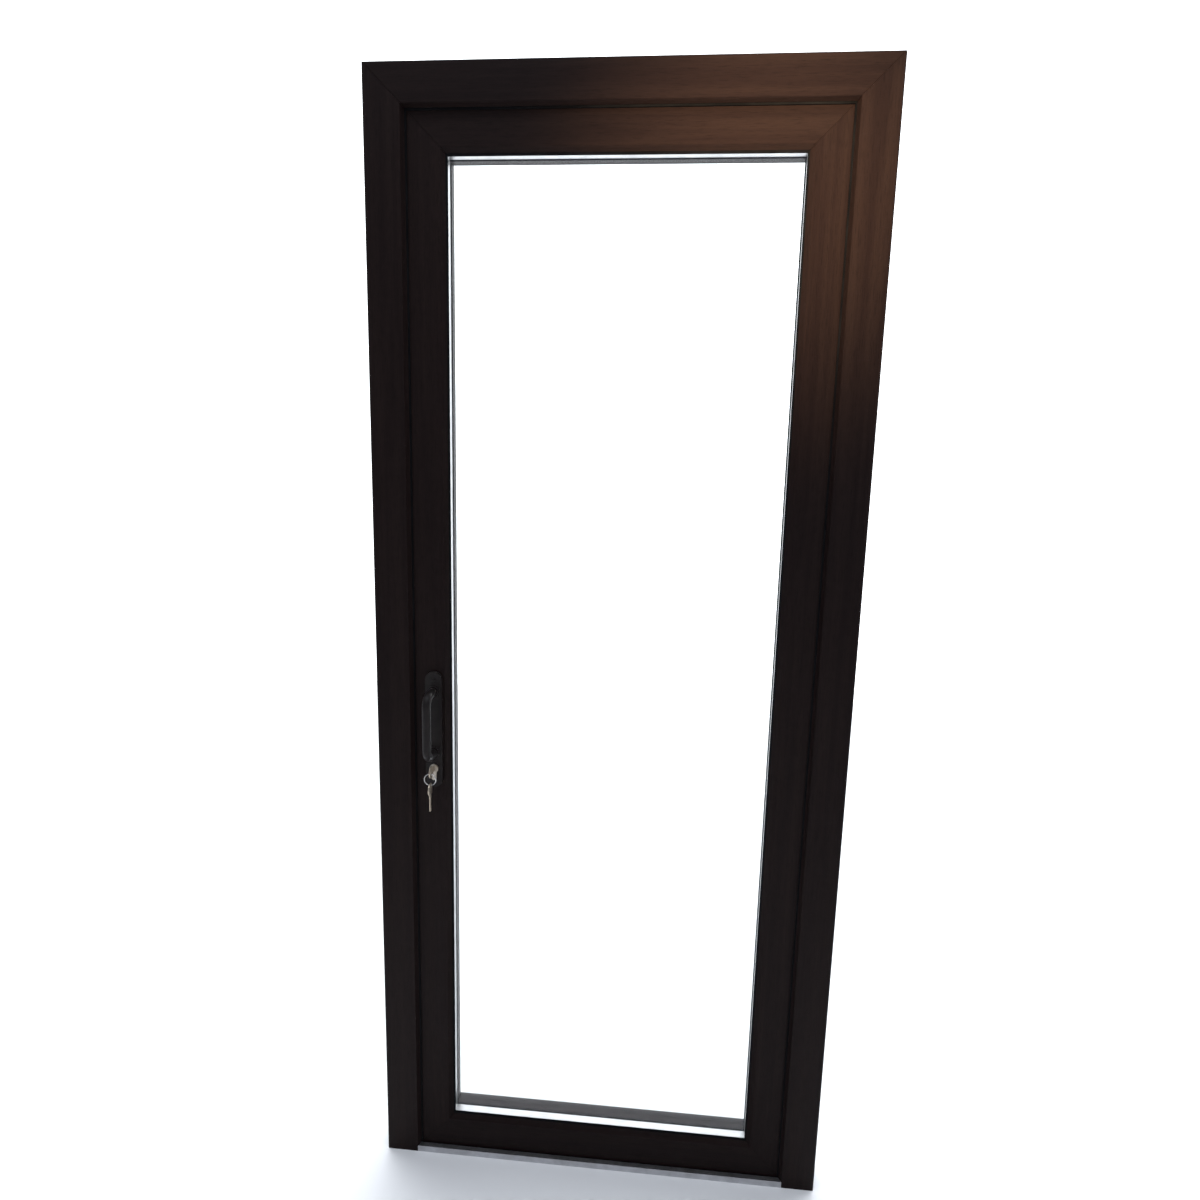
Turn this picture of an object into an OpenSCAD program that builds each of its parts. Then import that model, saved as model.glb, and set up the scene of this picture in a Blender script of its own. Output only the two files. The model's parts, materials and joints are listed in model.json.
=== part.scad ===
// Glazed entrance door leaf in its frame: foiled plastic profiles, double glazing, mortise lock with a
// roller catch, pull handles on both sides and three surface hinges. It opens inward, towards +Y.
// X runs along the door's width, Y through its depth (exterior face at -Y), Z up.
// The origin is at the middle of the frame's foot. "Inset" is the distance in from the frame's outer edge.

/* [Overall size] */
// Outer width of the frame
door_w = 880; // [800:1:1100]
// Outer height of the frame
door_h = 2080; // [1700:1:2500]
// Depth of the frame profile
frame_d = 70; // [60:1:84]

/* [Frame profile] */
// Width of the frame's body, from the outer edge to the rebate floor
frame_body = 50; // [44:1:60]
// Width of the frame's flat outside face
frame_face = 64; // [60:1:76]
// Extra width of the sloped edge of the outside lip
lip_slope = 5; // [2:1:8]
// Thickness of the outside lip
lip_t = 10; // [8:1:12]
// Wall thickness of the plastic profiles
wall = 3; // [2.4:0.1:4]
// Depth of the rounded outer edge of the frame
edge_chamfer = 2; // [1:0.5:4]

/* [Leaf profile] */
// Air gap between the rebate floor and the leaf's edge
rebate_gap = 12; // [11:0.5:14]
// How far the leaf's outside face lies behind the frame's
recess = 13; // [12:1:16]
// Width of the leaf's flat outside face, from its edge to the bevel
leaf_face = 66; // [60:1:90]
// Width of the bevel round the glass, with its gasket
bevel_w = 12; // [8:1:16]
// Depth of the bevel round the glass, with its gasket
bevel_d = 10; // [8:1:12]
// How far the leaf's inside lip reaches over its edge
overlap = 20; // [16:1:24]
// Thickness of the leaf's inside lip
overlap_t = 10; // [8:1:12]
// Thickness of the seal between the leaf's inside lip and the frame
overlap_seal = 3; // [2:0.5:5]

/* [Threshold] */
// Thickness of the threshold's base
sill_t = 4; // [3:0.5:5]
// Height of the threshold's stop
sill_stop = 13; // [11:1:20]
// Height of the leaf's lower edge
leaf_lift = 7; // [6:0.5:10]

/* [Glazing] */
// Thickness of each pane
pane_t = 4; // [3:0.5:6]
// Thickness of the whole glazing unit
unit_t = 24; // [20:0.2:32]
// How far the glass reaches behind the sight line
glass_bite = 11; // [10:0.5:12]
// Width of the spacer bar between the panes
spacer_w = 7; // [6:0.5:9]
// Thickness of the glazing gaskets
gasket_t = 3; // [2:0.5:4]
// Height of the setting blocks, between the glass edge and the rebate
block_gap = 3; // [2:0.5:6]

/* [Hinges] */
// Distance from the outer hinges' middles to the frame's foot and head
hinge_margin = 250; // [150:10:400]
// Radius of the hinge knuckles
knuckle_r = 8; // [7:0.1:10]
// Radius of the hinge pins
pin_r = 4; // [3:0.5:5]
// Running clearance round the hinge pins
pin_clear = 0.05; // [0.02:0.01:0.1]
// Height of a hinge
hinge_h = 100; // [80:5:120]
// Height of the middle knuckle
knuckle_h = 40; // [30:2:50]

/* [Lock] */
// Height of the lock cylinder's axis
cylinder_z = 850; // [800:5:1050]
// Distance from the cylinder up to the roller catch
roller_rise = 92; // [72:1:100]
// Throw of the deadbolt
bolt_throw = 20; // [15:1:22]
// Radius of the cylinder's plug bore
plug_r = 6.5; // [6:0.1:7]
// Running clearance round the turning and sliding lock pieces
lock_clear = 0.1; // [0.05:0.01:0.3]

/* [Handles] */
// Height of the pull's lower end above the cylinder's axis
pull_rise = 32; // [30:1:60]
// Distance between the ends of the pull
pull_span = 120; // [100:5:200]
// Radius of the pull's bar
pull_r = 8; // [6:0.5:12]
// How far the pull's bar stands off its plate
pull_reach = 44; // [35:1:60]
// Radius of the bends of the pull
pull_bend = 20; // [14:1:30]
// Width of the handle plates
plate_w = 32; // [28:1:40]
// Thickness of the handle plates
plate_t = 8; // [5:0.5:10]
// Distance that the plates reach past the pull's upper end and past the cylinder's axis
plate_margin = 38; // [34:1:50]

/* [Fixings] */
// Height of the lowest frame fixing
fixing_z = 200; // [150:10:300]
// Distance between the frame fixings up a jamb
fixing_step = 560; // [400:10:700]
// Radius of the frame fixing holes
fixing_r = 3.75; // [3:0.25:5]
// Radius of a screw's shank
screw_r = 2; // [1.5:0.25:2.5]
// Radius of a screw's head
screw_head_r = 4; // [3.5:0.25:5]

/* [Hidden] */
$fn = 64;

foil = [0.16, 0.10, 0.07];
steel = [0.72, 0.73, 0.74];
nickel = [0.75, 0.70, 0.62];
black = [0.05, 0.05, 0.05];
alloy = [0.62, 0.62, 0.63];
bronze = [0.20, 0.14, 0.10];

// Frame, seen from above
half_w = door_w / 2;
out_y = -frame_d / 2;
in_y = frame_d / 2;
lip_y = out_y + lip_t;
lip_inset = frame_face + lip_slope;

// How far the mitre cuts reach past the profiles
mitre_out = 60;

// Leaf
leaf_out_y = out_y + recess;
overlap_y = in_y + overlap_seal;
leaf_in_y = overlap_y + overlap_t;
leaf_d = leaf_in_y - leaf_out_y;
leaf_body = leaf_face + bevel_w - glass_bite - block_gap;
leaf_inset = frame_body + rebate_gap;
sight_inset = leaf_inset + leaf_face + bevel_w;
leaf_x = half_w - leaf_inset;
leaf_top = door_h - leaf_inset;
sight_x = half_w - sight_inset;
sight_top = door_h - sight_inset;
sight_bottom = leaf_lift + leaf_face + bevel_w;

// Glazing unit, centred between its gaskets
glass_out_y = leaf_out_y + bevel_d;
glass_in_y = glass_out_y + unit_t;
glass_lip_y = glass_out_y - gasket_t;
bead_y = glass_in_y + gasket_t;

// Brush under the leaf
brush_w = 8;
brush_foot = 1.5;
brush_t = 3;
brush_out = 2;

// Steel stiffeners
steel_t = 1.5;
steel_gap = 0.3;
frame_steel_w = frame_body - 2 * wall - 14;
leaf_steel_w = 40;
steel_end = 10;

// Hinges
lip_clear = 2;
axis_x = half_w - leaf_inset + overlap + knuckle_r + lip_clear;
axis_y = leaf_in_y + knuckle_r;
hinge_plate_t = 4;
hinge_z = [hinge_margin, door_h / 2, door_h - hinge_margin];
washer_gap = 0.5;
pin_head_t = 3;
bush_t = 1.5;
hinge_screw_end = 12;
jamb_screw_out = 10;
jamb_plate_out = 18;
leaf_screw_in = 26;
leaf_screw_step = 20;

// Lock
case_w = leaf_body - wall - 0.5;
case_shell = 1.5;
cam_w = 10;
cam_reach = 12.5;
cam_pocket_r = 13;
backset = case_w - case_shell - cam_pocket_r;
lock_x = -leaf_x + backset;
face_y = (leaf_out_y + overlap_y) / 2;
faceplate_w = 16;
faceplate_t = 3;
faceplate_low = cylinder_z - 75;
faceplate_high = cylinder_z + roller_rise + 60;
case_t = 14;
case_h = 190;
case_low = cylinder_z - 60;
bolt_z = cylinder_z + 34;
bolt_h = 26;
bolt_t = 9;
bolt_l = 34;
guide_l = 6;
tail_t = 4;
roller_z = cylinder_z + roller_rise;
roller_r = 5;
roller_h = 11;
roller_out = 8.5;
roller_pin_r = 1.5;
fork_lip = 2.5;
roller_x = -leaf_x - roller_out + roller_r;
carrier_h = 18;
carrier_t = 10;
carrier_l = 26;
cylinder_screw_drop = 18;
cylinder_screw_r = 2.5;
euro_slot_w = 10;
euro_drop = 23;
euro_lobe_r = 8.5;
cylinder_proud = 3;
pull_low = cylinder_z + pull_rise;
pull_top = pull_low + pull_span;
plate_low = cylinder_z - plate_margin;
plate_high = pull_top + plate_margin;
outside_y = leaf_out_y - plate_t;
inside_y = leaf_in_y + plate_t;
cyl_out_y = outside_y - cylinder_proud;
cyl_in_y = inside_y + cylinder_proud;

// Keys
key_t = 2;
bow_r = 12;
bow_neck = 5;
ring_r = 11;
ring_wire = 0.9;
bow_hole_r = 2.6;
bow_hole_in = 5;
cut_step = 4.4;
cut_w = 2.4;
blade_h = 7;
blade_l = 26;
bow_y = cyl_out_y - bow_neck - bow_r;
ring_y = bow_y - bow_r + bow_hole_in;

fixing_count = floor((door_h - 2 * fixing_z) / fixing_step) + 1;
strike_t = 2;
strike_w = 20;
strike_h = 132;
strike_z = (bolt_z + roller_z) / 2;
strike_screw_end = 8;
face_screw_end = 10;
plate_screw_up = 22;
plate_screw_low = 16;
screw_head_t = 1.6;
socket_r = 1.6;
socket_d = 0.7;
rest_gap = 0.3;
ring_z = cylinder_z - bow_hole_r + ring_wire + rest_gap;

// ---- Profiles: x is the inset from the frame's outer edge (or from the leaf's edge), y the depth

module frame_outline() {
  polygon([
    [edge_chamfer, out_y], [frame_face, out_y], [lip_inset, lip_y], [frame_body, lip_y],
    [frame_body, in_y], [edge_chamfer, in_y], [0, in_y - edge_chamfer], [0, out_y + edge_chamfer]
  ]);
}

// The steel chamber and two air chambers of the frame
module frame_chambers() {
  translate([wall, -frame_d / 6])
    square([frame_body - 2 * wall, frame_d / 3]);
  translate([wall, frame_d / 6 + wall])
    square([frame_body - 2 * wall, frame_d / 3 - 2 * wall]);
  translate([wall, out_y + wall])
    square([frame_body - 2 * wall, frame_d / 3 - 2 * wall]);
  translate([frame_body, out_y + wall])
    square([frame_face - frame_body - wall, lip_t - 2 * wall]);
}

module frame_profile() {
  difference() {
    frame_outline();
    frame_chambers();
  }
}

// The leaf's profile; its inside lip is left off along the bottom, where the leaf clears the threshold
module leaf_outline(lip = true) {
  bevel_in = leaf_face + bevel_w * (bevel_d - gasket_t) / bevel_d;
  polygon([[0, leaf_out_y], [leaf_face, leaf_out_y], [bevel_in, glass_lip_y], [leaf_body, glass_lip_y],
    [leaf_body, leaf_in_y], [0, leaf_in_y]]);
  if (lip)
    translate([-overlap, overlap_y])
      square([overlap, overlap_t]);
}

module leaf_chambers() {
  inner = leaf_body - 2 * wall;
  steel_d = leaf_d / 2;
  translate([wall, face_y - steel_d / 2])
    square([inner, steel_d]);
  translate([wall, leaf_out_y + wall])
    square([inner, face_y - steel_d / 2 - leaf_out_y - 2 * wall]);
  translate([wall, face_y + steel_d / 2 + wall])
    square([inner, leaf_in_y - face_y - steel_d / 2 - 2 * wall]);
}

module leaf_profile(lip = true) {
  difference() {
    leaf_outline(lip);
    leaf_chambers();
  }
}

// An open steel channel that lines the middle of a chamber
module steel_channel(w, d) {
  difference() {
    square([w, d]);
    translate([steel_t, steel_t])
      square([w, d - 2 * steel_t]);
  }
}

module frame_steel() {
  translate([wall + steel_gap, -frame_d / 6 + steel_gap])
    steel_channel(frame_steel_w, frame_d / 3 - 2 * steel_gap);
}

module leaf_steel() {
  translate([leaf_body - wall - steel_gap, face_y + leaf_d / 4 - steel_gap])
    rotate(180)
      steel_channel(leaf_steel_w, leaf_d / 2 - 2 * steel_gap);
}

// The glazing bead: square at its foot, sloped to the sight line
module bead_profile() {
  foot = leaf_body;
  top = leaf_face + bevel_w;
  polygon([[foot, bead_y], [top - 2, bead_y], [top - 4, leaf_in_y - 6], [top - 8, leaf_in_y],
    [foot, leaf_in_y]]);
}

// ---- Straight members

// A 2D profile run up the left side from z0 to z1, its x from the plane x_edge
module left_run(x_edge, z0, z1) {
  translate([x_edge, 0, z0])
    linear_extrude(z1 - z0)
      children();
}

module right_run(x_edge, z0, z1) {
  mirror([1, 0, 0])
    left_run(x_edge, z0, z1)
      children();
}

module top_run(z_edge, half) {
  translate([-half, 0, z_edge])
    rotate([0, 90, 0])
      linear_extrude(2 * half)
        children();
}

module bottom_run(z_edge, half) {
  translate([0, 0, z_edge])
    mirror([0, 0, 1])
      top_run(0, half)
        children();
}

// Half spaces between the mitre lines of a rectangle with corners (-x, z0) and (x, z1)
module mitre_prism(points) {
  rotate([90, 0, 0])
    linear_extrude(4 * frame_d, center = true)
      polygon(points);
}

module side_mitre(x, z0, z1) {
  mitre_prism([
    [-x - mitre_out, z0 - mitre_out], [0, z0 + x], [0, z1 - x], [-x - mitre_out, z1 + mitre_out]
  ]);
}

module top_mitre(x, z0, z1) {
  mitre_prism([[-x - mitre_out, z1 + mitre_out], [x + mitre_out, z1 + mitre_out], [0, z1 - x]]);
}

module bottom_mitre(x, z0, z1) {
  mitre_prism([[-x - mitre_out, z0 - mitre_out], [x + mitre_out, z0 - mitre_out], [0, z0 + x]]);
}

// A closed rectangular ring of a profile, its x measured in from (-x, z0) and (x, z1)
module profile_ring(x, z0, z1) {
  union() {
    intersection() {
      left_run(-x, z0, z1) children();
      side_mitre(x, z0, z1);
    }
    intersection() {
      right_run(-x, z0, z1) children();
      mirror([1, 0, 0]) side_mitre(x, z0, z1);
    }
    intersection() {
      top_run(z1, x) children();
      top_mitre(x, z0, z1);
    }
    intersection() {
      bottom_run(z0, x) children();
      bottom_mitre(x, z0, z1);
    }
  }
}

// ---- Places of repeated fasteners

module fixing_places() {
  for (i = [0 : fixing_count - 1])
    translate([0, 0, fixing_z + i * fixing_step])
      children();
}

module fixing_holes() {
  for (side = [-1, 1])
    fixing_places()
      translate([side * (half_w - frame_body / 2), 0, 0])
        rotate([0, 90, 0])
          cylinder(r = fixing_r, h = frame_body + 2, center = true);
}

module jamb_screw_places() {
  for (z = hinge_z)
    for (dz = [-1, 1])
      translate([axis_x + knuckle_r + jamb_screw_out, in_y, z + dz * (hinge_h / 2 - hinge_screw_end)])
        rotate([-90, 0, 0])
          children();
}

module leaf_screw_places() {
  for (z = hinge_z)
    for (dx = [0, leaf_screw_step])
      for (dz = [-1, 1])
        translate([
          leaf_x + overlap - leaf_screw_in - dx, leaf_in_y, z + dz * (hinge_h / 2 - hinge_screw_end)
        ])
          rotate([-90, 0, 0])
            children();
}

module strike_screw_places() {
  for (dz = [-1, 1])
    translate([-half_w + frame_body, face_y, strike_z + dz * (strike_h / 2 - strike_screw_end)])
      rotate([0, 90, 0])
        children();
}

module faceplate_screw_places() {
  for (z = [faceplate_low + face_screw_end, faceplate_high - face_screw_end])
    translate([-leaf_x, face_y, z])
      rotate([0, -90, 0])
        children();
}

// Screws of the outside plate (side 0) and of the inside plate (side 1), pointing out of the leaf
module plate_screw_places(side) {
  for (z = [pull_top + plate_screw_up, cylinder_z + plate_screw_low])
    translate([lock_x, side == 0 ? leaf_out_y : leaf_in_y, z])
      rotate([side == 0 ? 90 : -90, 0, 0])
        children();
}

// A screw along +Z whose head sits on z = seat and whose shank reaches down to z = -depth
module screw(seat, depth) {
  translate([0, 0, seat])
    difference() {
      cylinder(r = screw_head_r, h = screw_head_t);
      translate([0, 0, screw_head_t - socket_d])
        cylinder(r = socket_r, h = socket_d + 1, $fn = 6);
    }
  translate([0, 0, -depth])
    cylinder(r = screw_r, h = depth + seat);
}

module screw_hole(depth, rise = 10) {
  translate([0, 0, -depth])
    cylinder(r = screw_r, h = depth + rise);
}

// ---- Frame

module frame_head() {
  color(foil)
    intersection() {
      top_run(door_h, half_w) frame_profile();
      top_mitre(half_w, 0, door_h);
    }
}

module frame_jamb() {
  intersection() {
    left_run(-half_w, 0, door_h) frame_profile();
    side_mitre(half_w, -door_w, door_h);
  }
}

module frame_hinge_jamb() {
  color(foil)
    difference() {
      mirror([1, 0, 0]) frame_jamb();
      fixing_holes();
      jamb_screw_places() screw_hole(wall + 1);
    }
}

// The pockets for the thrown bolt and the catch's roller, each a little larger than what enters it
module strike_pocket() {
  spare = 2;
  pocket_l = bolt_throw - rebate_gap + spare;
  translate([-half_w + frame_body, face_y, bolt_z])
    cube([2 * pocket_l, bolt_t + 2 * spare - 1, bolt_h + 2 * spare], center = true);
  translate([-half_w + frame_body, face_y, roller_z])
    cube([2 * (wall + 1), carrier_t + 3 * spare, carrier_h + 3 * spare], center = true);
}

module frame_lock_jamb() {
  color(foil)
    difference() {
      frame_jamb();
      fixing_holes();
      strike_pocket();
      strike_screw_places() screw_hole(wall + 1);
    }
}

module frame_reinforcement() {
  foot = 4 * steel_end;
  stop = frame_body + steel_end;
  color(steel)
    difference() {
      union() {
        left_run(-half_w, foot, door_h - stop) frame_steel();
        right_run(-half_w, foot, door_h - stop) frame_steel();
        top_run(door_h, half_w - stop) frame_steel();
      }
      fixing_holes();
    }
}

module frame_gasket() {
  root = frame_face - 2;
  bulb = leaf_out_y - lip_y - rest_gap;
  color(black)
    intersection() {
      profile_ring(half_w, -door_w, door_h)
        translate([root, lip_y])
          square([lip_inset + gasket_t - root, bulb]);
      translate([-half_w, -frame_d, sill_stop])
        cube([door_w, 2 * frame_d, door_h]);
    }
}

module threshold() {
  inner = half_w - frame_body;
  groove_r = 0.8;
  groove_step = 6;
  color(alloy)
    difference() {
      union() {
        translate([-inner, out_y, 0])
          cube([2 * inner, frame_d, sill_t]);
        translate([-inner, out_y, 0])
          cube([2 * inner, lip_t, sill_stop]);
      }
      for (side = [0, 1])
        mirror([side, 0, 0])
          left_run(-half_w, -1, sill_stop + 1)
            frame_outline();
      for (y = [lip_y + groove_step + 2 : groove_step : in_y - groove_step])
        translate([-door_w, y, sill_t])
          rotate([0, 90, 0])
            cylinder(r = groove_r, h = 2 * door_w);
    }
}

module threshold_block() {
  block_w = 6;
  block_h = 24;
  color(black)
    translate([-half_w + frame_body, lip_y + rest_gap, sill_t])
      cube([block_w, frame_d - lip_t - 2, block_h]);
}

module threshold_block_left() {
  threshold_block();
}

module threshold_block_right() {
  mirror([1, 0, 0]) threshold_block();
}

module lock_strike() {
  color(steel)
    difference() {
      translate([-half_w + frame_body, face_y - strike_w / 2, strike_z - strike_h / 2])
        cube([strike_t, strike_w, strike_h]);
      strike_pocket();
      strike_screw_places() screw_hole(wall);
    }
}

module strike_screws() {
  color(steel)
    strike_screw_places() screw(strike_t, wall);
}

// ---- Hinges

module hinge_jamb_plate(z) {
  arm_w = 12;
  low = z - hinge_h / 2;
  high = z + hinge_h / 2;
  mid = knuckle_h / 2 + washer_gap;
  color(foil)
    difference() {
      union() {
        translate([axis_x - arm_w / 2, in_y, low])
          cube([arm_w / 2 + knuckle_r + jamb_plate_out, hinge_plate_t, hinge_h]);
        for (span = [[low, z - mid], [z + mid, high]])
          translate([axis_x - arm_w / 2, in_y, span[0]])
            cube([arm_w, axis_y - in_y, span[1] - span[0]]);
        for (span = [[low, z - mid], [z + mid, high]])
          translate([axis_x, axis_y, span[0]])
            cylinder(r = knuckle_r, h = span[1] - span[0]);
      }
      translate([axis_x, axis_y, low - 1])
        cylinder(r = pin_r, h = hinge_h + 2);
      jamb_screw_places() screw_hole(1);
    }
}

module hinge_jamb_plate_low() {
  hinge_jamb_plate(hinge_z[0]);
}

module hinge_jamb_plate_mid() {
  hinge_jamb_plate(hinge_z[1]);
}

module hinge_jamb_plate_high() {
  hinge_jamb_plate(hinge_z[2]);
}

module hinge_pins() {
  color(steel)
    for (z = hinge_z)
      translate([axis_x, axis_y, 0]) {
        translate([0, 0, z - hinge_h / 2])
          cylinder(r = pin_r, h = hinge_h);
        for (head = [z - hinge_h / 2 - pin_head_t, z + hinge_h / 2])
          translate([0, 0, head])
            cylinder(r = knuckle_r, h = pin_head_t);
      }
}

module hinge_jamb_screws() {
  color(steel)
    jamb_screw_places() screw(hinge_plate_t, wall);
}

module hinge_leaf_plate(z) {
  edge_x = leaf_x + overlap;
  plate_l = 54;
  lap = 4;
  color(foil)
    difference() {
      union() {
        translate([edge_x - lip_clear - plate_l, leaf_in_y, z - hinge_h / 2])
          cube([plate_l, hinge_plate_t, hinge_h]);
        translate([edge_x - lap, leaf_in_y, z - knuckle_h / 2])
          cube([axis_x - edge_x + lap, knuckle_r, knuckle_h]);
        translate([axis_x, axis_y, z - knuckle_h / 2])
          cylinder(r = knuckle_r, h = knuckle_h);
      }
      translate([axis_x, axis_y, z - knuckle_h / 2 - 1])
        cylinder(r = pin_r + bush_t, h = knuckle_h + 2);
      leaf_screw_places() screw_hole(1);
    }
}

module hinge_leaf_plate_low() {
  hinge_leaf_plate(hinge_z[0]);
}

module hinge_leaf_plate_mid() {
  hinge_leaf_plate(hinge_z[1]);
}

module hinge_leaf_plate_high() {
  hinge_leaf_plate(hinge_z[2]);
}

module hinge_bushes() {
  color(black)
    for (z = hinge_z)
      translate([axis_x, axis_y, z - knuckle_h / 2])
        difference() {
          cylinder(r = pin_r + bush_t, h = knuckle_h);
          translate([0, 0, -1])
            cylinder(r = pin_r + pin_clear, h = knuckle_h + 2);
        }
}

module hinge_leaf_screws() {
  color(steel)
    leaf_screw_places() screw(hinge_plate_t, wall);
}

// ---- Leaf

module leaf_top_rail() {
  color(foil)
    intersection() {
      top_run(leaf_top, leaf_x + overlap) leaf_profile();
      top_mitre(leaf_x, leaf_lift, leaf_top);
    }
}

module leaf_bottom_rail() {
  color(foil)
    difference() {
      intersection() {
        bottom_run(leaf_lift, leaf_x) leaf_profile(false);
        bottom_mitre(leaf_x, leaf_lift, leaf_top);
      }
      brush_slot();
    }
}

module brush_slot() {
  translate([-leaf_x, face_y - brush_w / 2, leaf_lift - 1])
    cube([2 * leaf_x, brush_w, brush_foot + 1]);
}

module leaf_stile() {
  intersection() {
    left_run(-leaf_x, leaf_lift, leaf_top + overlap) leaf_profile();
    side_mitre(leaf_x, leaf_lift, leaf_top);
  }
}

module leaf_hinge_stile() {
  color(foil)
    difference() {
      mirror([1, 0, 0]) leaf_stile();
      leaf_screw_places() screw_hole(wall + 1);
      brush_slot();
    }
}

// The euro-profile hole, a circle over a narrower round-ended slot
module euro_hole(grow, y0, y1) {
  translate([lock_x, y1, cylinder_z])
    rotate([90, 0, 0])
      linear_extrude(y1 - y0) {
        circle(r = euro_lobe_r + grow);
        translate([-euro_slot_w / 2 - grow, -euro_drop + euro_slot_w / 2])
          square([euro_slot_w + 2 * grow, euro_drop - euro_slot_w / 2]);
        translate([0, -euro_drop + euro_slot_w / 2])
          circle(r = euro_slot_w / 2 + grow);
      }
}

module case_space(grow) {
  translate([-leaf_x + faceplate_t, face_y - case_t / 2 - grow, case_low - grow])
    cube([case_w - faceplate_t + grow, case_t + 2 * grow, case_h + 2 * grow]);
}

module faceplate_space() {
  translate([-leaf_x - 1, face_y - faceplate_w / 2, faceplate_low])
    cube([faceplate_t + 1, faceplate_w, faceplate_high - faceplate_low]);
}

module leaf_lock_stile() {
  color(foil)
    difference() {
      leaf_stile();
      faceplate_space();
      case_space(1);
      euro_hole(0.5, leaf_out_y - 1, leaf_in_y + 1);
      for (side = [0, 1])
        plate_screw_places(side) screw_hole(wall + 1);
      faceplate_screw_places()
        translate([0, 0, -faceplate_t])
          screw_hole(wall + 1);
      brush_slot();
    }
}

module leaf_reinforcement() {
  lock_low = faceplate_low - 2 * steel_end;
  lock_high = plate_high + steel_end;
  stop = leaf_body + steel_end + 2;
  rail_half = leaf_x - stop;
  color(steel) {
    left_run(-leaf_x, leaf_lift + stop, lock_low) leaf_steel();
    left_run(-leaf_x, lock_high, leaf_top - stop) leaf_steel();
    right_run(-leaf_x, leaf_lift + stop, leaf_top - stop) leaf_steel();
    top_run(leaf_top, rail_half) leaf_steel();
    bottom_run(leaf_lift, rail_half) leaf_steel();
  }
}

module leaf_gasket() {
  seal_in = 2;
  seal_w = 5;
  color(black)
    intersection() {
      profile_ring(leaf_x + overlap, -door_w, leaf_top + overlap)
        translate([seal_in, in_y + rest_gap])
          square([seal_w, overlap_y - in_y - rest_gap]);
      translate([-half_w, -frame_d, leaf_lift])
        cube([door_w, 2 * frame_d, door_h]);
    }
}

module brush_seal() {
  color(black)
    translate([-leaf_x, face_y, leaf_lift])
      union() {
        translate([0, -brush_w / 2, 0])
          cube([2 * leaf_x, brush_w, brush_foot]);
        translate([0, -brush_t / 2, -brush_out])
          cube([2 * leaf_x, brush_t, brush_out + brush_foot / 2]);
      }
}

// ---- Glazing

module bead_top() {
  color(foil)
    intersection() {
      top_run(leaf_top, leaf_x) bead_profile();
      top_mitre(leaf_x, leaf_lift, leaf_top);
    }
}

module bead_bottom() {
  color(foil)
    intersection() {
      bottom_run(leaf_lift, leaf_x) bead_profile();
      bottom_mitre(leaf_x, leaf_lift, leaf_top);
    }
}

module bead_side() {
  intersection() {
    left_run(-leaf_x, leaf_lift, leaf_top) bead_profile();
    side_mitre(leaf_x, leaf_lift, leaf_top);
  }
}

module bead_hinge_side() {
  color(foil)
    mirror([1, 0, 0]) bead_side();
}

module bead_lock_side() {
  color(foil)
    bead_side();
}

module outer_glazing_gasket() {
  top = leaf_face + bevel_w;
  bevel_in = leaf_face + bevel_w * (bevel_d - gasket_t) / bevel_d;
  color(black)
    profile_ring(leaf_x, leaf_lift, leaf_top)
      polygon([[leaf_body + block_gap, glass_lip_y], [bevel_in, glass_lip_y], [top, glass_out_y],
        [leaf_body + block_gap, glass_out_y]]);
}

module inner_glazing_gasket() {
  top = leaf_face + bevel_w;
  color(black)
    profile_ring(leaf_x, leaf_lift, leaf_top)
      polygon([[leaf_body + block_gap, glass_in_y], [top, glass_in_y], [top - 2, bead_y],
        [leaf_body + block_gap, bead_y]]);
}

module pane(y) {
  glass_x = sight_x + glass_bite;
  glass_low = sight_bottom - glass_bite;
  glass_high = sight_top + glass_bite;
  color([0.8, 0.9, 0.9, 0.3])
    translate([-glass_x, y, glass_low])
      cube([2 * glass_x, pane_t, glass_high - glass_low]);
}

module outer_pane() {
  pane(glass_out_y);
}

module inner_pane() {
  pane(glass_in_y - pane_t);
}

module unit_ring(inset, w) {
  profile_ring(sight_x + glass_bite, sight_bottom - glass_bite, sight_top + glass_bite)
    translate([inset, glass_out_y + pane_t])
      square([w, unit_t - 2 * pane_t]);
}

module spacer_bar() {
  color(alloy)
    unit_ring(glass_bite - spacer_w - 2, spacer_w);
}

module edge_sealant() {
  color(black)
    unit_ring(0, glass_bite - spacer_w - 2);
}

module setting_blocks() {
  block_l = 100;
  spread = 0.6;
  glass_x = sight_x + glass_bite;
  color(black) {
    for (x = [-1, 1])
      translate([x * glass_x * spread - block_l / 2, glass_out_y, leaf_lift + leaf_body])
        cube([block_l, unit_t, block_gap]);
    for (side = [-1, 1])
      for (z = [hinge_z[0], hinge_z[2]])
        translate([side * (glass_x + block_gap / 2) - block_gap / 2, glass_out_y, z - block_l / 2])
          cube([block_gap, unit_t, block_l]);
  }
}

// ---- Lock

module bolt_space(grow) {
  translate([-leaf_x - 1, face_y - bolt_t / 2 - grow, bolt_z - bolt_h / 2 - grow])
    cube([bolt_l + guide_l + 1, bolt_t + 2 * grow, bolt_h + 2 * grow]);
}

module carrier_space(grow) {
  translate([-leaf_x - 1, face_y - carrier_t / 2 - grow, roller_z - carrier_h / 2 - grow])
    cube([carrier_l + 2 * guide_l, carrier_t + 2 * grow, carrier_h + 2 * grow]);
}

module lock_faceplate() {
  color(steel)
    difference() {
      translate([-leaf_x, face_y - faceplate_w / 2, faceplate_low])
        cube([faceplate_t, faceplate_w, faceplate_high - faceplate_low]);
      bolt_space(lock_clear);
      carrier_space(lock_clear);
      faceplate_screw_places() screw_hole(faceplate_t + 1);
      cylinder_screw_bore();
    }
}

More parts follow.
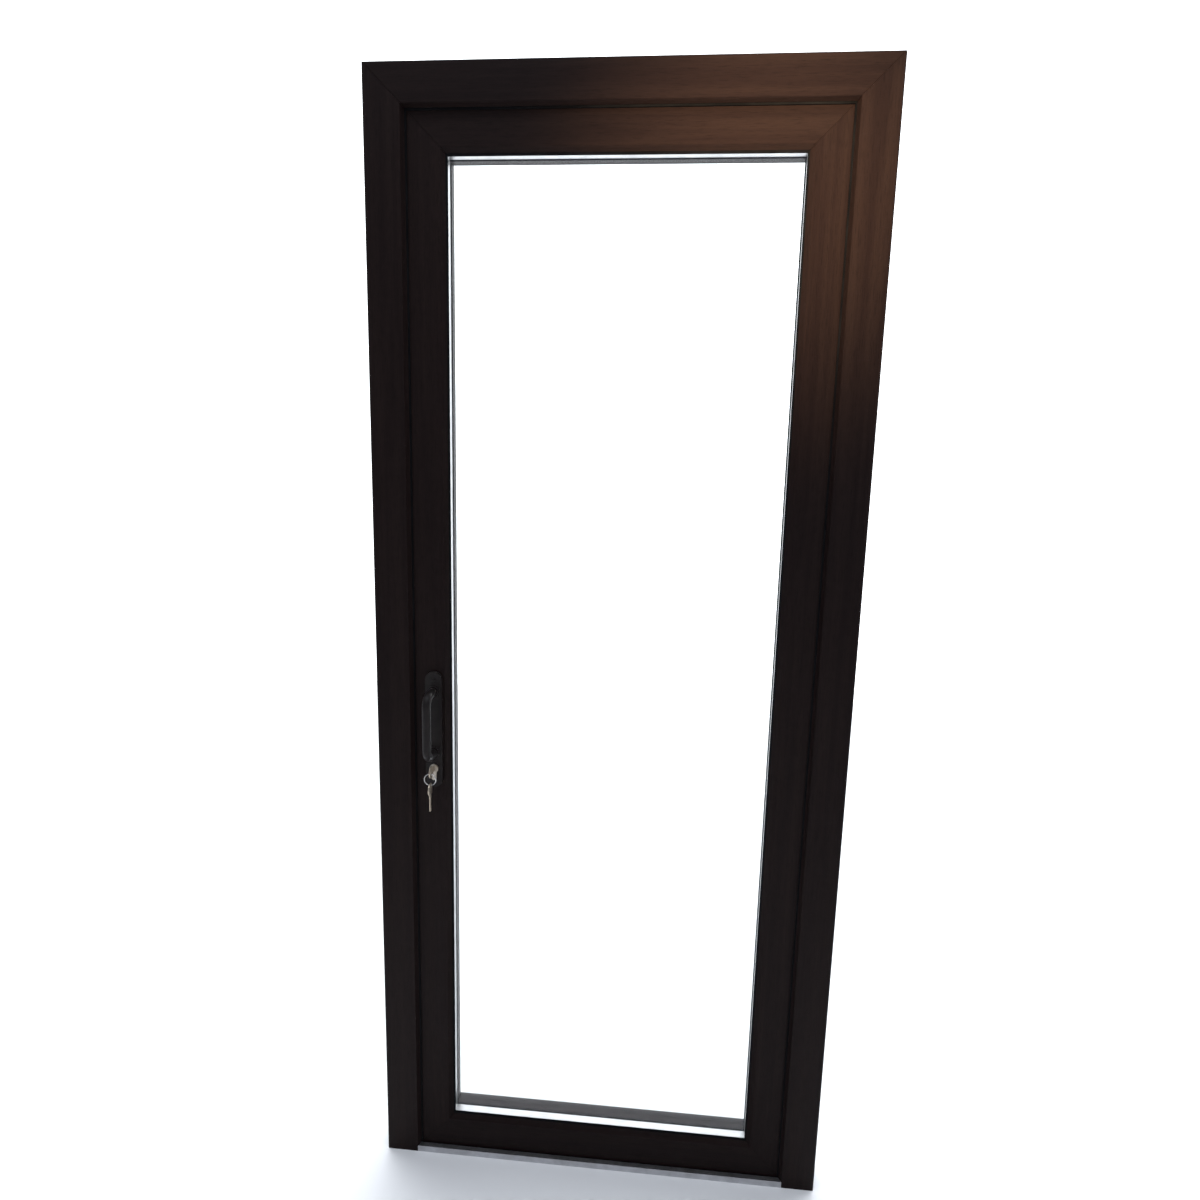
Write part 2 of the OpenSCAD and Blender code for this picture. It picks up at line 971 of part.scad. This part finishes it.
module lock_case() {
  color(steel)
    difference() {
      case_space(0);
      translate([
        -leaf_x + faceplate_t + case_shell, face_y - case_t / 2 + case_shell, case_low + case_shell
      ])
        cube([case_w - faceplate_t - 2 * case_shell, case_t - 2 * case_shell, case_h - 2 * case_shell]);
      bolt_space(lock_clear);
      carrier_space(lock_clear);
      euro_hole(0.3, face_y - case_t, face_y + case_t);
      cylinder_screw_bore();
    }
}

module faceplate_screws() {
  color(steel)
    faceplate_screw_places()
      translate([0, 0, -faceplate_t])
        screw(faceplate_t, wall);
}

// The bolt's tail reaches over the cam
module deadbolt() {
  tail_low = cylinder_z + cam_pocket_r + 1;
  tail_l = case_w - bolt_l;
  color(nickel)
    union() {
      translate([-leaf_x, face_y - bolt_t / 2, bolt_z - bolt_h / 2])
        cube([bolt_l, bolt_t, bolt_h]);
      translate([-leaf_x + bolt_l - tail_t, face_y - tail_t / 2, tail_low])
        cube([tail_l, tail_t, bolt_z - bolt_h / 2 + tail_t - tail_low]);
    }
}

// The catch's sliding fork, open at its tip for the roller
module roller_carrier() {
  color(nickel)
    difference() {
      translate([roller_x - fork_lip, face_y - carrier_t / 2, roller_z - carrier_h / 2])
        cube([-leaf_x + carrier_l - roller_x + fork_lip, carrier_t, carrier_h]);
      translate([roller_x - roller_r, face_y - carrier_t, roller_z - roller_h / 2 - rest_gap])
        cube([2 * roller_r + 1, 2 * carrier_t, roller_h + 2 * rest_gap]);
      translate([roller_x, face_y, roller_z - carrier_h])
        cylinder(r = roller_pin_r, h = 2 * carrier_h);
    }
}

module roller_pin() {
  color(steel)
    translate([roller_x, face_y, roller_z - carrier_h / 2])
      cylinder(r = roller_pin_r, h = carrier_h);
}

module catch_roller() {
  color(nickel)
    translate([roller_x, face_y, roller_z - roller_h / 2])
      difference() {
        cylinder(r = roller_r, h = roller_h);
        translate([0, 0, -1])
          cylinder(r = roller_pin_r + pin_clear, h = roller_h + 2);
      }
}

// ---- Cylinder and keys

module cylinder_body() {
  color(nickel)
    difference() {
      euro_hole(0, cyl_out_y, cyl_in_y);
      translate([lock_x, cyl_in_y + 1, cylinder_z])
        rotate([90, 0, 0])
          cylinder(r = plug_r, h = cyl_in_y - cyl_out_y + 2);
      translate([lock_x, face_y + cam_w / 2, cylinder_z])
        rotate([90, 0, 0])
          cylinder(r = cam_pocket_r, h = cam_w);
      cylinder_screw_bore();
    }
}

// The screw that holds the cylinder in the case runs under the cam, from the faceplate to the cylinder
module cylinder_screw_bore() {
  translate([-leaf_x - 1, face_y, cylinder_z - cylinder_screw_drop])
    rotate([0, 90, 0])
      cylinder(r = cylinder_screw_r, h = backset + euro_slot_w);
}

module cylinder_screw() {
  color(steel)
    translate([-leaf_x, face_y, cylinder_z - cylinder_screw_drop])
      rotate([0, 90, 0])
        cylinder(r = cylinder_screw_r, h = backset + euro_slot_w / 2 - 1);
}

module plug_bar(y0, y1) {
  translate([lock_x, y1, cylinder_z])
    rotate([90, 0, 0])
      cylinder(r = plug_r - lock_clear, h = y1 - y0);
}

module keyway(y0, l) {
  translate([lock_x - key_t / 2, y0, cylinder_z - blade_h / 2])
    cube([key_t, l, blade_h]);
}

module inside_plug() {
  color(nickel)
    difference() {
      plug_bar(face_y + cam_w / 2, cyl_in_y);
      keyway(cyl_in_y - blade_l, blade_l + 1);
    }
}

module cylinder_plug() {
  color(nickel)
    difference() {
      plug_bar(cyl_out_y, face_y - cam_w / 2 + lock_clear);
      keyway(cyl_out_y - 1, blade_l + 1);
    }
}

module cylinder_cam() {
  cam_t = cam_w - 2 * lock_clear;
  lobe_w = 7;
  color(steel)
    translate([lock_x, face_y + cam_t / 2, cylinder_z])
      rotate([90, 0, 0])
        union() {
          cylinder(r = plug_r + 2, h = cam_t);
          intersection() {
            translate([-lobe_w / 2, -cam_reach, 0])
              cube([lobe_w, cam_reach, cam_t]);
            cylinder(r = cam_reach, h = cam_t);
          }
        }
}

// A key lying in the YZ plane with the bow's centre at the origin and its blade along +Y
module key_shape() {
  difference() {
    rotate([0, 90, 0])
      union() {
        cylinder(r = bow_r, h = key_t, center = true);
        translate([-blade_h / 2 - 1, 0, -key_t / 2])
          cube([blade_h + 2, bow_r + bow_neck, key_t]);
      }
    translate([0, -bow_r + bow_hole_in, 0])
      rotate([0, 90, 0])
        cylinder(r = bow_hole_r, h = 3 * key_t, center = true);
  }
  difference() {
    translate([-key_t / 2, bow_r + bow_neck, -blade_h / 2])
      cube([key_t, blade_l, blade_h]);
    for (i = [0 : 4])
      translate([0, bow_r + bow_neck + 4 + cut_step * i, (blade_h + cut_w) / 2 - 0.3 * (i % 3)])
        rotate([45, 0, 0])
          cube([2 * key_t, cut_w, cut_w], center = true);
  }
}

module key() {
  color(nickel)
    translate([lock_x, bow_y, cylinder_z])
      key_shape();
}

module key_ring() {
  color(steel)
    translate([lock_x, ring_y, ring_z - ring_r])
      rotate([90, 0, 0])
        rotate_extrude($fn = 64)
          translate([ring_r, 0])
            circle(r = ring_wire, $fn = 16);
}

// The spare key hangs from the ring by the hole in its bow, its blade pointing down
module spare_key() {
  hang = ring_z - 2 * ring_r + ring_wire + rest_gap - bow_hole_r;
  color(nickel)
    translate([lock_x, ring_y, hang - bow_r + bow_hole_in])
      rotate([-90, 0, 0])
        key_shape();
}

// ---- Handles

module plate_shape(y0) {
  difference() {
    translate([lock_x, y0 + plate_t, 0])
      rotate([90, 0, 0])
        linear_extrude(plate_t) {
          translate([-plate_w / 2, plate_low + plate_w / 2])
            square([plate_w, plate_high - plate_low - plate_w]);
          for (z = [plate_low + plate_w / 2, plate_high - plate_w / 2])
            translate([0, z])
              circle(r = plate_w / 2);
        }
    euro_hole(0.2, y0 - 1, y0 + plate_t + 1);
    for (side = [0, 1])
      plate_screw_places(side) screw_hole(1, plate_t + 1);
  }
}

module outside_plate() {
  color(bronze)
    plate_shape(outside_y);
}

module inside_plate() {
  color(bronze)
    plate_shape(leaf_in_y);
}

module plate_screws() {
  color(bronze)
    for (side = [0, 1])
      plate_screw_places(side) screw(plate_t, wall);
}

// A bow pull in the plane x = 0, its lower end at the origin and its grip standing off along -Y
module pull_shape() {
  collar_w = 3;
  collar_t = 4;
  for (z = [0, pull_span])
    translate([0, 0, z])
      rotate([90, 0, 0]) {
        cylinder(r = pull_r, h = pull_reach - pull_bend);
        cylinder(r = pull_r + collar_w, h = collar_t);
      }
  translate([0, -pull_reach, pull_bend])
    cylinder(r = pull_r, h = pull_span - 2 * pull_bend);
  for (end = [0, 1])
    translate([0, -pull_reach + pull_bend, end == 0 ? pull_bend : pull_span - pull_bend])
      rotate([0, 90, 0])
        rotate([0, 0, end == 0 ? -90 : 180])
          rotate_extrude(angle = 90)
            translate([pull_bend, 0])
              circle(r = pull_r);
}

module outside_pull() {
  color(bronze)
    translate([lock_x, outside_y, pull_low])
      pull_shape();
}

module inside_pull() {
  color(bronze)
    translate([lock_x, inside_y, pull_low])
      mirror([0, 1, 0]) pull_shape();
}

frame_head();
frame_hinge_jamb();
frame_lock_jamb();
frame_reinforcement();
frame_gasket();
threshold();
threshold_block_left();
threshold_block_right();
lock_strike();
strike_screws();
hinge_jamb_plate_low();
hinge_jamb_plate_mid();
hinge_jamb_plate_high();
hinge_pins();
hinge_jamb_screws();
leaf_top_rail();
leaf_bottom_rail();
leaf_hinge_stile();
leaf_lock_stile();
leaf_reinforcement();
leaf_gasket();
brush_seal();
bead_top();
bead_bottom();
bead_hinge_side();
bead_lock_side();
outer_glazing_gasket();
inner_glazing_gasket();
outer_pane();
inner_pane();
spacer_bar();
edge_sealant();
setting_blocks();
lock_faceplate();
lock_case();
faceplate_screws();
outside_plate();
outside_pull();
inside_plate();
inside_pull();
plate_screws();
cylinder_body();
inside_plug();
cylinder_screw();
hinge_leaf_plate_low();
hinge_leaf_plate_mid();
hinge_leaf_plate_high();
hinge_bushes();
hinge_leaf_screws();
cylinder_plug();
cylinder_cam();
key();
key_ring();
spare_key();
deadbolt();
roller_carrier();
roller_pin();
catch_roller();
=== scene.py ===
"""Looks of a glazed entrance door in its frame.

Dark brown foiled plastic, double glazing and satin metal fittings, on a pale studio stage.
Everything is in metres, in the door's own frame: X along the width, exterior face towards -Y, Z up.
"""

import json
import math

import bpy
from mathutils import Matrix, Vector


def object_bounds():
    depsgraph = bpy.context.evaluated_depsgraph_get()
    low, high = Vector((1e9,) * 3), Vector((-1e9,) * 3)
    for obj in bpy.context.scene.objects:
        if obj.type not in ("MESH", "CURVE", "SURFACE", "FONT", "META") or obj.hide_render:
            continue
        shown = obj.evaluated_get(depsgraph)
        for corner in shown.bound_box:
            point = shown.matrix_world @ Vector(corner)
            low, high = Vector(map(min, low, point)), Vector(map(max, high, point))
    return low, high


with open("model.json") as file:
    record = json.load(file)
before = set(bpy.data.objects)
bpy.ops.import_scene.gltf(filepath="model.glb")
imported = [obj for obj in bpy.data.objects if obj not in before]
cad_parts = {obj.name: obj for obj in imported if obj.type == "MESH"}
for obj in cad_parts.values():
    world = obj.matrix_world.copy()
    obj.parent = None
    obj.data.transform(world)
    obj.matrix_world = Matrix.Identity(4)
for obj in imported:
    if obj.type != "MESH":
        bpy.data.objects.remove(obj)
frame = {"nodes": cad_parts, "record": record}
CAD_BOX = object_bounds()
NODES = frame["nodes"]
SLOT_OF = {row["node"]: row["material_slot"] for row in frame["record"]["subparts"]}
MM = 0.001

# ---- Camera

CAMERA_PLACE = Vector((0.0963, -1.3952, 1.4241))
CAMERA_PITCH = math.radians(-9.709)
CAMERA_ROLL = math.radians(-1.395)
CAMERA_YAW = math.radians(5.142)
CAMERA_LENS_MM = 23.03
SENSOR_MM = 36.0
CAMERA_NEAR = 10 * MM


def make_camera():
    data = bpy.data.cameras.new("camera")
    data.sensor_width = SENSOR_MM
    data.sensor_height = SENSOR_MM
    data.lens = CAMERA_LENS_MM
    data.clip_start = CAMERA_NEAR
    camera = bpy.data.objects.new("camera", data)
    turn = (
        Matrix.Rotation(CAMERA_YAW, 4, "Z")
        @ Matrix.Rotation(CAMERA_ROLL, 4, "Y")
        @ Matrix.Rotation(CAMERA_PITCH, 4, "X")
        @ Matrix.Rotation(math.radians(90), 4, "X")
    )
    camera.matrix_world = Matrix.Translation(CAMERA_PLACE) @ turn
    bpy.context.scene.collection.objects.link(camera)
    bpy.context.scene.camera = camera


# ---- Shader building blocks


class Shader:
    """A material with its principled shader and short calls for the nodes that feed it."""

    def __init__(self, name, colour, roughness, metallic=0.0, **sockets):
        self.material = bpy.data.materials.new(name)
        self.material.use_nodes = True
        self.tree = self.material.node_tree
        self.principled = self.tree.nodes["Principled BSDF"]
        self.principled.inputs["Base Color"].default_value = (*colour, 1)
        self.principled.inputs["Roughness"].default_value = roughness
        self.principled.inputs["Metallic"].default_value = metallic
        for socket, value in sockets.items():
            self.principled.inputs[socket.replace("_", " ")].default_value = value
        self.coords = self.tree.nodes.new("ShaderNodeTexCoord").outputs["Object"]
        self.height = None

    def link(self, source, node, socket):
        self.tree.links.new(source, node.inputs[socket])

    def stretched(self, scale):
        """The object's coordinates, in metres, times a scale for each axis."""
        node = self.tree.nodes.new("ShaderNodeMapping")
        node.inputs["Scale"].default_value = scale
        self.link(self.coords, node, "Vector")
        return node.outputs["Vector"]

    def noise(self, scale, detail=4.0, roughness=0.55, distortion=0.0):
        node = self.tree.nodes.new("ShaderNodeTexNoise")
        self.link(self.stretched(scale), node, "Vector")
        node.inputs["Scale"].default_value = 1.0
        node.inputs["Detail"].default_value = detail
        node.inputs["Roughness"].default_value = roughness
        node.inputs["Distortion"].default_value = distortion
        return node.outputs["Fac"]

    def cells(self, scale):
        node = self.tree.nodes.new("ShaderNodeTexVoronoi")
        self.link(self.stretched(scale), node, "Vector")
        node.inputs["Scale"].default_value = 1.0
        return node.outputs["Distance"]

    def ranged(self, value, low, high, to_low, to_high):
        node = self.tree.nodes.new("ShaderNodeMapRange")
        self.link(value, node, "Value")
        for socket, number in (
            ("From Min", low),
            ("From Max", high),
            ("To Min", to_low),
            ("To Max", to_high),
        ):
            node.inputs[socket].default_value = number
        return node.outputs["Result"]

    def mixed(self, factor, colour_a, colour_b):
        node = self.tree.nodes.new("ShaderNodeMix")
        node.data_type = "RGBA"
        self.link(factor, node, "Factor")
        for socket, colour in (("A", colour_a), ("B", colour_b)):
            target = [s for s in node.inputs if s.name == socket and s.type == "RGBA"][0]
            if isinstance(colour, tuple):
                target.default_value = (*colour, 1)
            else:
                self.tree.links.new(colour, target)
        return [s for s in node.outputs if s.type == "RGBA"][0]

    def colour(self, source):
        self.link(source, self.principled, "Base Color")

    def rough(self, source):
        self.link(source, self.principled, "Roughness")

    def bump(self, height, depth):
        """Adds a bump of that depth in metres on top of any before it."""
        node = self.tree.nodes.new("ShaderNodeBump")
        node.inputs["Distance"].default_value = depth
        node.inputs["Strength"].default_value = 1.0
        self.link(height, node, "Height")
        if self.height is not None:
            self.link(self.height, node, "Normal")
        self.height = node.outputs["Normal"]
        self.link(self.height, self.principled, "Normal")


# ---- Materials, one function for each kind of surface

AXIS_INDEX = {"x": 0, "y": 1, "z": 2}

FOIL_DARK = (0.0102, 0.0062, 0.0060)
FOIL_LIGHT = (0.0145, 0.0089, 0.0081)
FOIL_PORE = (0.004, 0.0027, 0.0026)

# Depth of each surface's fine relief
PORE_DEPTH = 0.12 * MM
RUBBER_GRAIN_DEPTH = 0.04 * MM
STRAND_DEPTH = 0.3 * MM
SPARK_DEPTH = 0.05 * MM
PEEL_DEPTH = 0.04 * MM
BRUSH_DEPTH = 0.02 * MM

# How much smoother or rougher than its mean a coat gets where it is rubbed
RUB_SPREAD = 0.08


def grain_scale(axis, along, across):
    """Noise scale for a grain drawn out along one axis."""
    scale = [across] * 3
    scale[AXIS_INDEX[axis]] = along
    return tuple(scale)


def foil(name, axis):
    """Dark brown decor foil: faint darker figure and fine pores, both drawn out along the profile."""
    shader = Shader(name, FOIL_LIGHT, 0.4, Specular_IOR_Level=0.06)
    figure = shader.noise(grain_scale(axis, 2.2, 70.0), 3.0, 0.6, 0.4)
    pores = shader.noise(grain_scale(axis, 45.0, 1300.0), 2.0, 0.7)
    brown = shader.mixed(shader.ranged(figure, 0.35, 0.7, 0, 1), FOIL_DARK, FOIL_LIGHT)
    shader.colour(shader.mixed(shader.ranged(pores, 0.36, 0.46, 0.5, 0), brown, FOIL_PORE))
    shader.rough(shader.ranged(figure, 0.3, 0.7, 0.41, 0.47))
    shader.bump(pores, PORE_DEPTH)
    return shader.material


def rubber():
    """Extruded seal: nearly black, with a faint grey bloom in patches."""
    shader = Shader("seal_rubber", (0.006, 0.006, 0.0065), 0.7, Specular_IOR_Level=0.05)
    grain = shader.noise((900, 900, 900), 3.0)
    bloom = shader.noise((18, 18, 18), 4.0)
    shader.colour(
        shader.mixed(shader.ranged(bloom, 0.4, 0.75, 0, 1), (0.0035, 0.0035, 0.004), (0.008, 0.008, 0.009))
    )
    shader.rough(shader.ranged(bloom, 0.3, 0.7, 0.5, 0.72))
    shader.bump(grain, RUBBER_GRAIN_DEPTH)
    return shader.material


def brush_pile():
    """Draught brush: fine upright strands, some lighter."""
    shader = Shader("brush_pile", (0.02, 0.02, 0.022), 0.9)
    strands = shader.noise((2600, 400, 60), 2.0, 0.6)
    shader.colour(
        shader.mixed(shader.ranged(strands, 0.35, 0.65, 0, 1), (0.008, 0.008, 0.009), (0.05, 0.05, 0.052))
    )
    shader.bump(strands, STRAND_DEPTH)
    return shader.material


def black_plastic():
    """Moulded plastic with a sparked surface."""
    shader = Shader("black_plastic", (0.02, 0.02, 0.021), 0.5)
    spark = shader.cells((1400, 1400, 1400))
    shader.rough(shader.ranged(spark, 0.0, 0.8, 0.4, 0.6))
    shader.bump(spark, SPARK_DEPTH)
    return shader.material


def painted(name, dark, light, rough=0.38):
    """Powder coat: a fine orange peel over a nearly even colour, rubbed a little smoother in places."""
    shader = Shader(name, dark, rough, Specular_IOR_Level=0.14)
    peel = shader.noise((650, 650, 650), 2.0, 0.5)
    rub = shader.noise((24, 24, 24), 4.0, 0.6)
    shader.colour(shader.mixed(shader.ranged(rub, 0.35, 0.7, 0, 1), dark, light))
    shader.rough(shader.ranged(rub, 0.3, 0.7, rough - RUB_SPREAD, rough + RUB_SPREAD))
    shader.bump(peel, PEEL_DEPTH)
    return shader.material


def metal(name, dark, light, rough, brush_axis, brush=1.0):
    """Plated or drawn metal: lines along one axis, with a cloudy change of tone and gloss."""
    shader = Shader(name, light, rough, 1.0)
    lines = shader.noise(grain_scale(brush_axis, 60.0, 5200.0), 3.0, 0.7)
    cloud = shader.noise((40, 40, 40), 4.0, 0.6)
    shader.colour(shader.mixed(shader.ranged(cloud, 0.3, 0.7, 0, 1), dark, light))
    shader.rough(shader.ranged(lines, 0.3, 0.7, rough - 0.07, rough + 0.09))
    shader.bump(lines, BRUSH_DEPTH * brush)
    return shader.material


def galvanised():
    """Zinc coating with its crystals."""
    shader = Shader("galvanised_steel", (0.4, 0.41, 0.42), 0.45, 1.0)
    spangle = shader.cells((120, 120, 120))
    shader.colour(
        shader.mixed(shader.ranged(spangle, 0.0, 0.9, 0, 1), (0.30, 0.31, 0.33), (0.55, 0.56, 0.58))
    )
    shader.rough(shader.ranged(spangle, 0.0, 0.9, 0.32, 0.55))
    return shader.material


def glass():
    """Clear float glass with a breath of green and faint wiping marks."""
    shader = Shader(
        "clear_glass", (0.985, 0.995, 0.99), 0.0, Transmission_Weight=1.0, IOR=1.45
    )
    wipe = shader.noise((5, 5, 1.2), 2.0, 0.6, 0.8)
    shader.colour(
        shader.mixed(shader.ranged(wipe, 0.4, 0.8, 0, 1), (0.988, 0.997, 0.993), (0.970, 0.982, 0.980))
    )
    return shader.material


def anodised():
    return metal("anodised_threshold", (0.42, 0.42, 0.43), (0.58, 0.58, 0.60), 0.34, "x", 2.0)


def make_materials():
    """Materials by name. The foil's grain follows each profile, so it has one for each direction."""
    return {
        "foil_upright": foil("foil_upright", "z"),
        "foil_level": foil("foil_level", "x"),
        "seal": rubber(),
        "brush": brush_pile(),
        "black_plastic": black_plastic(),
        "threshold": anodised(),
        "handle_paint": painted("handle_paint", (0.010, 0.008, 0.008), (0.016, 0.013, 0.012), 0.36),
        "hinge_paint": painted("hinge_paint", (0.014, 0.010, 0.009), (0.022, 0.016, 0.014)),
        "nickel": metal("satin_nickel", (0.38, 0.34, 0.29), (0.52, 0.47, 0.40), 0.3, "y"),
        "key_brass": metal("key_metal", (0.40, 0.33, 0.26), (0.58, 0.50, 0.40), 0.3, "z", 2.0),
        "ring_steel": metal("ring_steel", (0.42, 0.41, 0.40), (0.58, 0.57, 0.55), 0.25, "x"),
        "galvanised_steel": galvanised(),
        "steel": metal("zinc_steel", (0.36, 0.36, 0.37), (0.50, 0.50, 0.51), 0.34, "z"),
        "spacer": metal("spacer_aluminium", (0.55, 0.55, 0.56), (0.68, 0.68, 0.69), 0.38, "z"),
        "glass": glass(),
    }


LEVEL_NODES = ("frame_head", "leaf_top_rail", "leaf_bottom_rail", "bead_top", "bead_bottom")

# Round all over, so nothing on them needs rounding
ROUND_NODES = ("outside_pull", "inside_pull", "key_ring")

# With flat faces merged first, the rounding of these folds over
UNMERGED_NODES = ("frame_head", "cylinder_body", "spare_key")

# The full rounding of this one folds over
HALF_ROUNDED_NODES = ("leaf_bottom_rail",)

# Rounding of the edges of each slot's pieces, in metres
EDGE_RADIUS = {
    "brown_foil": 1.1 * MM,
    "seal": 0.6 * MM,
    "black_plastic": 0.8 * MM,
    "threshold": 0.8 * MM,
    "handle_paint": 1.2 * MM,
    "hinge_paint": 1.0 * MM,
    "nickel": 0.3 * MM,
    "key_brass": 0.3 * MM,
    "steel": 0.3 * MM,
    "spacer": 0.3 * MM,
}
EDGE_ANGLE = math.radians(28)
EDGE_SEGMENTS = 3
WELD_REACH = 0.02 * MM
FLAT_ANGLE = math.radians(0.5)


def round_edges(obj, radius, merge_flat):
    """Rounds sharp edges with modifiers, so that the mesh itself stays as it is."""
    weld = obj.modifiers.new("weld", "WELD")
    weld.merge_threshold = WELD_REACH
    if merge_flat:
        flat = obj.modifiers.new("flat", "DECIMATE")
        flat.decimate_type = "DISSOLVE"
        flat.angle_limit = FLAT_ANGLE
    bevel = obj.modifiers.new("edges", "BEVEL")
    bevel.width = radius
    bevel.segments = EDGE_SEGMENTS
    bevel.limit_method = "ANGLE"
    bevel.angle_limit = EDGE_ANGLE
    bevel.use_clamp_overlap = True
    bevel.harden_normals = True


def dress_nodes(materials):
    """Gives every CAD node its material, and its rounding where its slot has one."""
    for name, obj in NODES.items():
        slot = SLOT_OF[name]
        look = slot
        if slot == "brown_foil":
            look = "foil_level" if name in LEVEL_NODES else "foil_upright"
        obj.data.materials.clear()
        obj.data.materials.append(materials[look])
        if slot in EDGE_RADIUS and name not in ROUND_NODES:
            radius = EDGE_RADIUS[slot] / 2 if name in HALF_ROUNDED_NODES else EDGE_RADIUS[slot]
            round_edges(obj, radius, name not in UNMERGED_NODES)


# ---- Stage and light

FLOOR_HALF = 14.0
BACKDROP_Y = 3.4
BACKDROP_RISE = 9.0
BACKDROP_GLOW = 1.3

WORLD_COLOUR = (0.84, 0.88, 1.0, 1)
WORLD_STRENGTH = 0.36

DAYLIGHT_Y = 2.0
DAYLIGHT_RISE = 4.2
DAYLIGHT_POWER = 230
DAYLIGHT_SIZE = (7.0, 3.0)

FILL_Y = -1.0
FILL_RISE = 3.6
FILL_POWER = 50
FILL_SIZE = (4.0, 1.6)

# The lamp and what it aims at, in from the door's upper hinge corner
LAMP_IN = 0.18
LAMP_DOWN = 0.06
LAMP_Y = -0.62
LAMP_AIM_IN = 0.20
LAMP_AIM_DOWN = 0.20
LAMP_POWER = 86
LAMP_CONE = math.radians(74)
LAMP_RADIUS = 0.05


def plane(name, corners, material):
    mesh = bpy.data.meshes.new(name)
    mesh.from_pydata(corners, [], [tuple(range(len(corners)))])
    mesh.materials.append(material)
    obj = bpy.data.objects.new(name, mesh)
    bpy.context.scene.collection.objects.link(obj)
    return obj


def make_stage():
    floor = Shader("studio_floor", (0.9, 0.9, 0.9), 0.8, Specular_IOR_Level=0.1)
    mottle = floor.noise((3, 3, 3), 2.0)
    floor.colour(floor.mixed(mottle, (0.88, 0.88, 0.88), (0.92, 0.92, 0.92)))
    half = FLOOR_HALF
    ground = [(-half, -half, 0), (half, -half, 0), (half, half, 0), (-half, half, 0)]
    plane("studio_floor", ground, floor.material)

    backdrop = Shader("studio_backdrop", (0.9, 0.9, 0.9), 0.9)
    backdrop.principled.inputs["Emission Color"].default_value = (0.96, 0.98, 1.0, 1)
    backdrop.principled.inputs["Emission Strength"].default_value = BACKDROP_GLOW
    y, top = BACKDROP_Y, BACKDROP_RISE
    wall = [(-half, y, 0), (half, y, 0), (half, y, top), (-half, y, top)]
    plane("studio_backdrop", wall, backdrop.material)


def light(kind, name, place, aim, power, colour):
    """A light the camera never sees; only an area light shows in reflections."""
    data = bpy.data.lights.new(name, kind)
    data.energy = power
    data.color = colour
    obj = bpy.data.objects.new(name, data)
    obj.location = place
    obj.rotation_euler = (Vector(aim) - Vector(place)).to_track_quat("-Z", "Y").to_euler()
    obj.visible_camera = obj.visible_transmission = False
    obj.visible_glossy = kind == "AREA"
    bpy.context.scene.collection.objects.link(obj)
    return data


def make_light():
    """Daylight behind the door, a dim room before it and a small warm lamp near its upper hinge corner."""
    high = CAD_BOX[1]
    world = bpy.data.worlds.new("studio")
    world.use_nodes = True
    background = world.node_tree.nodes["Background"]
    background.inputs["Color"].default_value = WORLD_COLOUR
    background.inputs["Strength"].default_value = WORLD_STRENGTH
    bpy.context.scene.world = world

    overhead = light(
        "AREA", "daylight", (0, DAYLIGHT_Y, DAYLIGHT_RISE), (0, DAYLIGHT_Y, 0),
        DAYLIGHT_POWER, (0.90, 0.95, 1.0),
    )
    overhead.shape = "RECTANGLE"
    overhead.size, overhead.size_y = DAYLIGHT_SIZE

    fill = light(
        "AREA", "front_fill", (0, FILL_Y, FILL_RISE), (0, FILL_Y, 0), FILL_POWER, (0.86, 0.92, 1.0)
    )
    fill.shape = "RECTANGLE"
    fill.size, fill.size_y = FILL_SIZE

    lamp = light(
        "SPOT", "warm_lamp", (high[0] - LAMP_IN, LAMP_Y, high[2] - LAMP_DOWN),
        (high[0] - LAMP_AIM_IN, 0, high[2] - LAMP_AIM_DOWN), LAMP_POWER, (1.0, 0.735, 0.41),
    )
    lamp.spot_size = LAMP_CONE
    lamp.spot_blend = 1.0
    lamp.shadow_soft_size = LAMP_RADIUS
    bpy.context.scene.view_settings.view_transform = "Standard"


make_camera()
dress_nodes(make_materials())
make_stage()
make_light()
